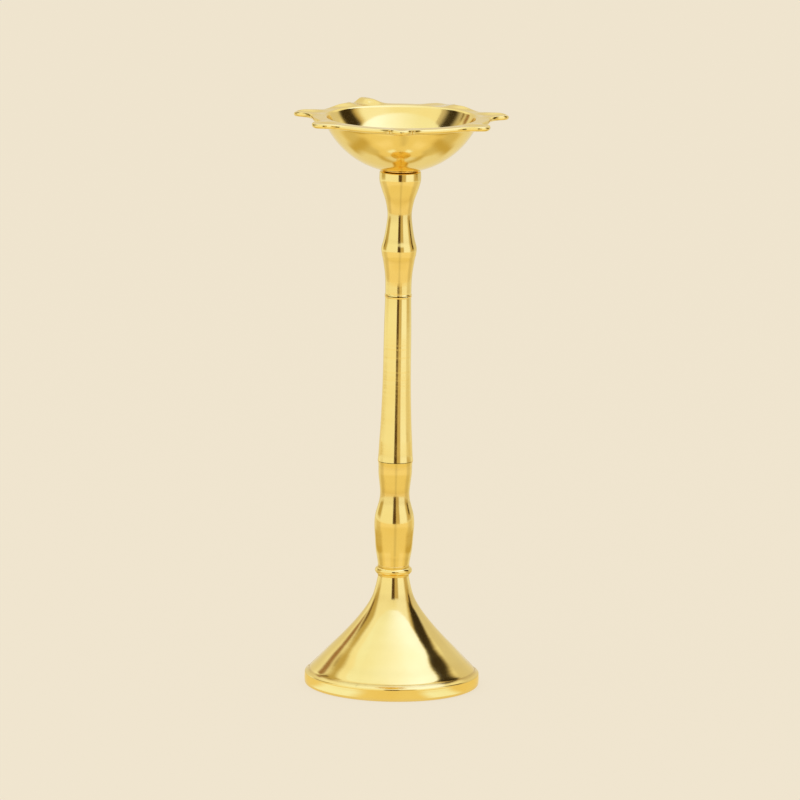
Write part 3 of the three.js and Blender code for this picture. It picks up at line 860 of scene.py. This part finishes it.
# %% [markdown]
# ## Plain brass and plated steel
#
# Where nobody looks, nobody polishes. The inside of the foot keeps the tool
# marks and a brown skin, and so do the washer and the studs. The nut and the
# tie stud are steel with a thin zinc plating, which is grey with a faint
# crystal mottle. Both finishes are rougher, so they need no fine unevenness,
# but their spots and tool lines are stronger.

# %% Plain brass
def plain_brass(name):
    finish = Finish(name)
    place = finish.add("ShaderNodeTexCoord", out="Object")
    run = finish.stored("run")
    clouds, spots = finish.noise(place, 60, 5, 0.6), finish.noise(place, 900, 2)
    lines = finish.rings(run, 3.2, 3.0)
    stain = (1.5 * clouds - 0.35 + 0.4 * (lines - 0.5)).clamped()
    color = finish.blend(stain, (0.62, 0.40, 0.11, 1), (0.30, 0.17, 0.05, 1))
    rough = (0.38 + 0.25 * (clouds - 0.5) + 0.2 * (spots - 0.5)).clamped()
    normal = finish.bump(lines, 0.00003)
    normal = finish.bump(spots, 0.00002, normal)
    finish.metal(color, rough, normal)
    return finish.material


plain_finish = plain_brass("brass_plain_tool_marked")
for piece in (washer, lower_stud, upper_stud, bowl_stud):
    piece.data.materials.append(plain_finish)

# The foot's hollow and the holes for the studs are plain too
for piece in (foot, stem_lower, stem_middle, stem_upper):
    piece.data.materials.append(plain_finish)
print("finish of hidden faces:", plain_finish.name)

# %% Plated steel
def plated_steel(name):
    finish = Finish(name)
    place = finish.add("ShaderNodeTexCoord", out="Object")
    crystals = finish.add("ShaderNodeTexVoronoi", {"feature": "F1"},
                          {"Vector": place, "Scale": 900.0}, out="Color")
    grey = finish.add("ShaderNodeRGBToBW", {}, {"Color": crystals})
    clouds = finish.noise(place, 160, 4)
    tone = (0.45 * grey + 0.8 * clouds - 0.1).clamped()
    color = finish.blend(tone, (0.62, 0.61, 0.57, 1), (0.40, 0.40, 0.40, 1))
    rough = (0.32 + 0.15 * (clouds - 0.5) + 0.08 * (grey - 0.5)).clamped()
    normal = finish.bump(clouds, 0.00003)
    finish.metal(color, rough, normal)
    return finish.material


steel_finish = plated_steel("steel_zinc_plated")
for piece in (nut, tie_stud):
    piece.data.materials.append(steel_finish)
print("finish of nut and tie stud:", steel_finish.name)

# %% Which faces are hidden ones
def paint_hidden(piece, is_hidden):
    """Gives the second material to faces whose centre fits the test."""
    count = 0
    for face in piece.data.polygons:
        radius = math.hypot(face.center.x, face.center.y) / MM
        if is_hidden(radius, face.center.z / MM):
            face.material_index = 1
            count += 1
    print(f"{piece.name}: {count} hidden faces")


foot_r = [r for r, z in foot_outside]
foot_z = [z for r, z in foot_outside]
paint_hidden(foot, lambda r, z: r < np.interp(z, foot_z, foot_r) - 0.9)
for piece in (stem_lower, stem_middle, stem_upper):
    paint_hidden(piece, lambda r, z: r < HOLE_R + 0.05)

# %% [markdown]
# ## Floor and world
#
# The lamp stands on a plain cream floor. Most of what the camera and the brass
# see of it is its own colour, so it stays the same cream everywhere. The rest
# is lit, so that the lamp's soft shadow stays on it. The world lights
# everything with plain white, and shows the same cream to the camera.

# %% Floor
CREAM = (0.863, 0.776, 0.617, 1.0)
FLOOR_HALF = 14.0
OWN_COLOR_SHARE = 0.9


def seen_directly(finish):
    """1 for what the camera sees, itself or in metal or glass."""
    paths = [finish.add("ShaderNodeLightPath", out=name)
             for name in ("Is Camera Ray", "Is Glossy Ray", "Is Transmission Ray")]
    return (paths[0] + paths[1] + paths[2]).clamped()


floor_mesh = bpy.data.meshes.new("floor")
corners = [(x * FLOOR_HALF, y * FLOOR_HALF, 0) for x, y in ((-1, -1), (1, -1), (1, 1), (-1, 1))]
floor_mesh.from_pydata(corners, [], [(0, 1, 2, 3)])
floor = bpy.data.objects.new("floor", floor_mesh)
bpy.context.collection.objects.link(floor)
paper = Finish("cream_floor")
paper.put(paper.surface, {"Base Color": CREAM, "Roughness": 0.9, "Specular IOR Level": 0.0})
lit = Socket(paper.tree, paper.surface.outputs[0])
own = paper.add("ShaderNodeEmission", {}, {"Color": CREAM, "Strength": 1.0})
share = OWN_COLOR_SHARE * seen_directly(paper)
paper.show(paper.add("ShaderNodeMixShader", {},
                     {"Fac": share, "Shader": lit, "Shader_001": own}))
floor_mesh.materials.append(paper.material)
print("the floor is", 2 * FLOOR_HALF, "m wide")

# %% World
world = bpy.data.worlds.new("plain_world")
bpy.context.scene.world = world
world.use_nodes = True
back = world.node_tree.nodes["Background"]
sky = Finish("plain_world", world.node_tree)
shown = sky.blend(seen_directly(sky), (1.0, 1.0, 1.0, 1.0), CREAM)
sky.put(back, {"Color": shown, "Strength": 1.0})
print("the world lights at strength", back.inputs["Strength"].default_value)

# %% A soft lamp for the shadow
LAMP_PLACE, LAMP_AIM_HEIGHT, LAMP_SIZE, LAMP_POWER = (-0.5, -0.7, 1.6), 0.1, 1.2, 4.0

lamp = bpy.data.objects.new("soft_lamp", bpy.data.lights.new("soft_lamp", "AREA"))
bpy.context.collection.objects.link(lamp)
lamp.location = LAMP_PLACE
to_foot = Vector((0, 0, LAMP_AIM_HEIGHT)) - lamp.location
lamp.rotation_euler = to_foot.to_track_quat("-Z", "Y").to_euler()
lamp.data.size = LAMP_SIZE
lamp.data.energy = LAMP_POWER
lamp.visible_glossy = False
print("soft lamp:", lamp.data.energy, "W")

# %% [markdown]
# ## Light tent
#
# A mirror shows its surroundings, so polished brass needs surroundings worth
# showing. A photographer stands it in a tent of white cloth, with a gap at the
# front for the lens and a few dark cards that draw the edges of the shapes.
# The tent is built the same way: a drum around the lamp with a lid and a
# skirt on the floor. Separate area lights would reflect as hard squares, so
# the tent is one mesh that carries a brightness at every point, and each card
# is blended in with a soft edge. Only reflections see it: it casts no light on
# the floor, no shadow, and the camera looks straight through it. A flag, black
# on one side and white on the other, darkens the bowl without the foot.

# %% Cloth and cards of the tent
TENT_R, TENT_HEIGHT = 1.0, 1.3
CLOTH, BLACK_CLOTH, FLAG_EDGE = (0.98, 1.04, 1.18), (0.04, 0.03, 0.02), (0.60, 0.57, 0.58)
FLAG_WHITE, LID_LEFT, LID_RIGHT = (0.98, 1.12, 1.45), (0.98, 1.10, 1.4), (1.14, 1.42, 2.8)
# Of the papers below, the pale one is painted light on the skirt.
PAPER, LIT_PAPER, GREY_PAPER = (0.90, 0.79, 0.52), (0.98, 0.89, 0.71), (0.86, 0.85, 0.86)
# The brown below is painted shade on the skirt.
BROWN_SHADE, BRIGHT_SPOT = (0.60, 0.47, 0.19), (1.0, 1.16, 1.55)


def soft_band(low, high, soft, x):
    """1 between low and high, fading to 0 over soft on both sides."""
    return ease(low - soft, low + soft, x) * (1 - ease(high - soft, high + soft, x))


def mixed(color, other, share):
    """From one colour towards another by this share."""
    return np.array(color) * (1 - share) + np.array(other) * share


# Each card has a name, an azimuth from and to with the softness of its sides,
# a height from and to with the softness of its ends, and a colour. Azimuths
# are in degrees to the right of the camera and heights in metres.
CARDS = [
    ("right cloth", 22, 80, 14, 0.0, 1.4, 0.10, (1.02, 1.12, 1.5)),
    ("back", 142, 218, 9, -0.2, 0.78, 0.12, (0.80, 0.79, 0.78)),
    ("right side", 80, 124, 8, 0.02, 1.26, 0.08, (0.60, 0.50, 0.32)),
    ("right back", 114, 150, 4, 0.04, 0.66, 0.06, (0.74, 0.74, 0.80)),
    ("black post", 97, 109, 3, 0.20, 0.75, 0.06, (0.06, 0.04, 0.03)),
    ("black card", 90, 121, 5, 0.52, 1.24, 0.06, BLACK_CLOTH),
    ("left side", 235, 270, 8, 0.10, 0.98, 0.10, (0.56, 0.47, 0.27)),
    ("left drape", 221, 232, 3, 0.42, 0.64, 0.06, (0.36, 0.22, 0.15)),
    ("left post", 237, 247, 3, 0.30, 0.70, 0.06, (0.20, 0.13, 0.07)),
    ("front drape", 6, 32, 4, -0.1, 0.60, 0.05, (0.62, 0.52, 0.34)),
    ("lens gap", -9, 10, 2, -0.1, 0.66, 0.05, (0.10, 0.06, 0.03)),
]


def drum_color(azimuth, height):
    """Colour of the drum at this azimuth and height."""
    color = CLOTH
    for _, a0, a1, soft, z0, z1, soft_z, shade in CARDS:
        middle = (a0 + a1) / 2
        near = (azimuth - middle + 180) % 360 - 180 + middle
        share = soft_band(a0, a1, soft, near) * soft_band(z0, z1, soft_z, height)
        color = mixed(color, shade, share)
    return color


def lid_color(azimuth, radius):
    """The lid is brighter to the right, where its lamp hangs."""
    rightward = radius * math.sin(math.radians(azimuth))
    return mixed(LID_LEFT, LID_RIGHT, ease(-0.7, 0.8, rightward))


def skirt_color(azimuth, radius):
    """The floor around the lamp, mixed from its paper and painted light and shade."""
    aside = radius * abs(math.sin(math.radians(azimuth)))
    ahead = radius * math.cos(math.radians(azimuth))
    # Painted light makes the paper paler far out, and in two patches in front of the foot
    patches = soft_band(-66, -22, 9, azimuth) + soft_band(36, 68, 9, azimuth)
    pale = max(ease(0.34, 0.50, radius), patches * soft_band(0.10, 0.17, 0.03, radius))
    color = mixed(PAPER, LIT_PAPER, pale)
    # It is greyer at the back, and painted shade darkens it towards the lens and the sides
    color = mixed(color, GREY_PAPER, 1 - soft_band(-124, 124, 8, azimuth))
    clear = ease(0.09, 0.12, radius)
    color = color * (1 - 0.18 * soft_band(0, 14, 7, azimuth) * clear)
    color = color * (1 - 0.22 * soft_band(86, 122, 10, abs(azimuth)) * clear)
    # Painted brown shade runs as a strip from front to back on each side, and lies as a patch
    # behind the foot
    strip = soft_band(0.18, 0.26, 0.03, aside) * soft_band(-0.26, 0.05, 0.05, ahead)
    behind = soft_band(0.085, 0.125, 0.02, radius) * soft_band(112, 168, 14, abs(azimuth))
    color = mixed(color, BROWN_SHADE, max(strip, behind))
    # Close to the foot two bright spots light its band
    spots = soft_band(-70, -28, 9, azimuth) + soft_band(28, 56, 7, azimuth)
    return mixed(color, BRIGHT_SPOT, spots * (1 - ease(0.066, 0.082, radius)))


def flag_color(azimuth):
    """The flag's upper side is black in the middle of its width."""
    return mixed(FLAG_EDGE, BLACK_CLOTH, soft_band(-118, -90, 8, azimuth))


print("cards in the tent:", ", ".join(card[0] for card in CARDS))

# %% Light tent
cloth = Finish("tent_cloth")
cloth.show(cloth.add("ShaderNodeEmission", {},
                     {"Color": cloth.stored("shade", "Color"), "Strength": 1.0}))


def glowing_sheet(name, azimuths, rings, closed):
    """A sheet around the lamp that only reflections see. Each ring is a radius,
    a height and the function that gives its colour at an azimuth."""
    points, colors, faces = [], [], []
    for radius, height, color_at in rings:
        for azimuth in azimuths:
            points.append(tuple(around(PHOTO_AZIMUTH + math.radians(azimuth), radius, height)))
            colors.append((*color_at(azimuth), 1.0))
    count = len(azimuths)
    for ring in range(len(rings) - 1):
        for i in range(count if closed else count - 1):
            a, b = ring * count + i, ring * count + (i + 1) % count
            faces.append((a, b, b + count, a + count))
    mesh = bpy.data.meshes.new(name)
    mesh.from_pydata(points, [], faces)
    stored = mesh.color_attributes.new("shade", "FLOAT_COLOR", "POINT")
    stored.data.foreach_set("color", [v for color in colors for v in color])
    mesh.materials.append(cloth.material)
    sheet = bpy.data.objects.new(name, mesh)
    bpy.context.collection.objects.link(sheet)
    sheet.visible_camera = sheet.visible_diffuse = sheet.visible_shadow = False
    print(f"{name}: {len(faces)} faces")


OFF_FLOOR, SKIRT_FROM = 0.0006, 0.049
skirt = [(r, OFF_FLOOR, lambda azimuth, r=r: skirt_color(azimuth, r))
         for r in (*np.geomspace(SKIRT_FROM, 0.42, 28), 0.50, 0.7, TENT_R)]
drum = [(TENT_R, z, lambda azimuth, z=z: drum_color(azimuth, z))
        for z in np.linspace(OFF_FLOOR, TENT_HEIGHT, 66)]
lid = [(TENT_R * s, TENT_HEIGHT, lambda azimuth, s=s: lid_color(azimuth, TENT_R * s))
       for s in np.linspace(1, 0.02, 26)]
glowing_sheet("light_tent", np.arange(-180, 180, 1.5), skirt + drum + lid, closed=True)

# %% Flag above the left side
# It slants up to the tent's wall between the bowl, which sees its black upper
# side, and the foot, which sees its white underside.
FLAG_LOW, FLAG_SLOPE, FLAG_THICK = 0.17, 1.16, 0.004
flag_width = np.arange(-128, -76, 1.5)
flag = [(r, FLAG_LOW + FLAG_SLOPE * r) for r in (0.15, 0.95)]
black_side = [(r, z, flag_color) for r, z in flag]
white_side = [(r, z - FLAG_THICK, lambda azimuth: FLAG_WHITE) for r, z in flag]
glowing_sheet("flag_black_side", flag_width, black_side, closed=False)
glowing_sheet("flag_white_side", flag_width, white_side, closed=False)
